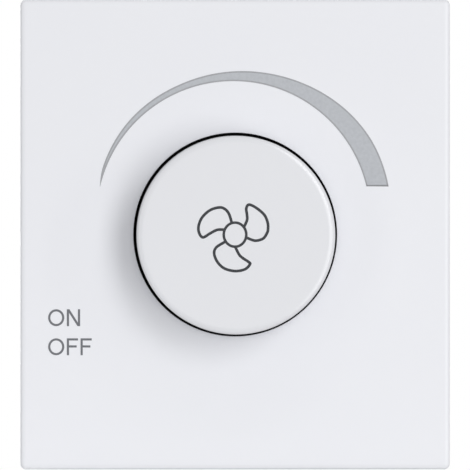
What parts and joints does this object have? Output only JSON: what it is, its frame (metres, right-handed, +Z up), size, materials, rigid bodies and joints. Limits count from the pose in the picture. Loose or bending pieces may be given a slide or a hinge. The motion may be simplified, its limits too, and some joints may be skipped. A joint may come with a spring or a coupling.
{
  "type": "fan speed control switch",
  "caption": "Flush fan speed control switch: flat rectangular cover with a round rotary knob, vented housing that clips into a support frame, and screw terminals.",
  "frame": {"origin": "middle of the plane in which the cover's rim lies on the support frame", "axes": "+X to the right seen from the front, +Y into the wall, +Z up; the front faces -Y"},
  "size_m": [0.0448, 0.045, 0.049],
  "materials": {
    "cover_plastic": "satin white moulding with a very fine texture",
    "knob_plastic": "satin white moulding",
    "housing_plastic": "matt light grey moulding",
    "sheet_aluminium": "rolled sheet",
    "plated_steel": "zinc plated",
    "spring_steel": "bright spring steel",
    "cast_zinc": "die-cast zinc",
    "contact_brass": "plain brass",
    "spring_bronze": "phosphor bronze strip",
    "tinned_copper": "tinned",
    "phenolic_brown": "phenolic laminate",
    "switch_black": "moulded",
    "board_laminate": "glass-fibre board with solder mask",
    "epoxy_black": "moulded epoxy",
    "pad_silicone": "heat-conducting pad",
    "ferrite": "sintered ferrite",
    "enamelled_copper": "enamelled winding wire",
    "capacitor_case": "moulded case",
    "timing_case": "moulded case",
    "resistor_lacquer": "lacquered",
    "diode_lacquer": "lacquered",
    "fuse_sleeve": "moulded sleeve"
  },
  "bodies": {
    "base": {"front_cover": "cover_plastic", "pot_bush": "cast_zinc", "bush_nut": "plated_steel", "pot_can": "plated_steel", "pot_wafer": "phenolic_brown", "pot_lugs": "tinned_copper", "switch_case": "switch_black", "cooling_plate": "sheet_aluminium", "plate_screws": "plated_steel", "rear_housing": "housing_plastic", "circuit_board": "board_laminate", "diac": "diode_lacquer", "fuse": "fuse_sleeve", "resistors": "resistor_lacquer", "contact_bars": "contact_brass", "triac_pad": "pad_silicone", "triac": "epoxy_black", "triac_screw": "plated_steel", "triac_nut": "plated_steel", "choke_core": "ferrite", "choke_winding": "enamelled_copper", "mains_capacitor": "capacitor_case", "timing_capacitor": "timing_case"},
    "dial": {"speed_knob": "knob_plastic", "hub_ring": "spring_steel", "control_shaft": "plated_steel", "pot_rotor": "switch_black", "wiper_spring": "spring_bronze"},
    "screw_left": {"terminal_screw_left": "plated_steel"},
    "cage_left": {"terminal_cage_left": "contact_brass"},
    "screw_right": {"terminal_screw_right": "plated_steel"},
    "cage_right": {"terminal_cage_right": "contact_brass"}
  },
  "joints": [
    {"name": "knob_turn", "type": "hinge", "parent": "base", "child": "dial", "pos_m": [0, 0, 0], "axis": [0, 1, 0], "range_deg": [0, 300]},
    {"name": "clamp_left_screw", "type": "hinge", "parent": "base", "child": "screw_left", "pos_m": [-0.007, 0.026, -0.0169], "axis": [0, -1, 0], "range_deg": [0, 2161]},
    {"name": "clamp_left_rise", "type": "slide", "parent": "base", "child": "cage_left", "axis": [0, 1, 0], "range_m": [0, 0.003]},
    {"name": "clamp_right_screw", "type": "hinge", "parent": "base", "child": "screw_right", "pos_m": [0.007, 0.026, -0.0169], "axis": [0, -1, 0], "range_deg": [0, 2161]},
    {"name": "clamp_right_rise", "type": "slide", "parent": "base", "child": "cage_right", "axis": [0, 1, 0], "range_m": [0, 0.003]}
  ],
  "couplings": [
    {"joint": "clamp_left_screw", "follows": "clamp_left_rise", "rad_per_m": 12566},
    {"joint": "clamp_right_screw", "follows": "clamp_right_rise", "rad_per_m": 12566}
  ]
}
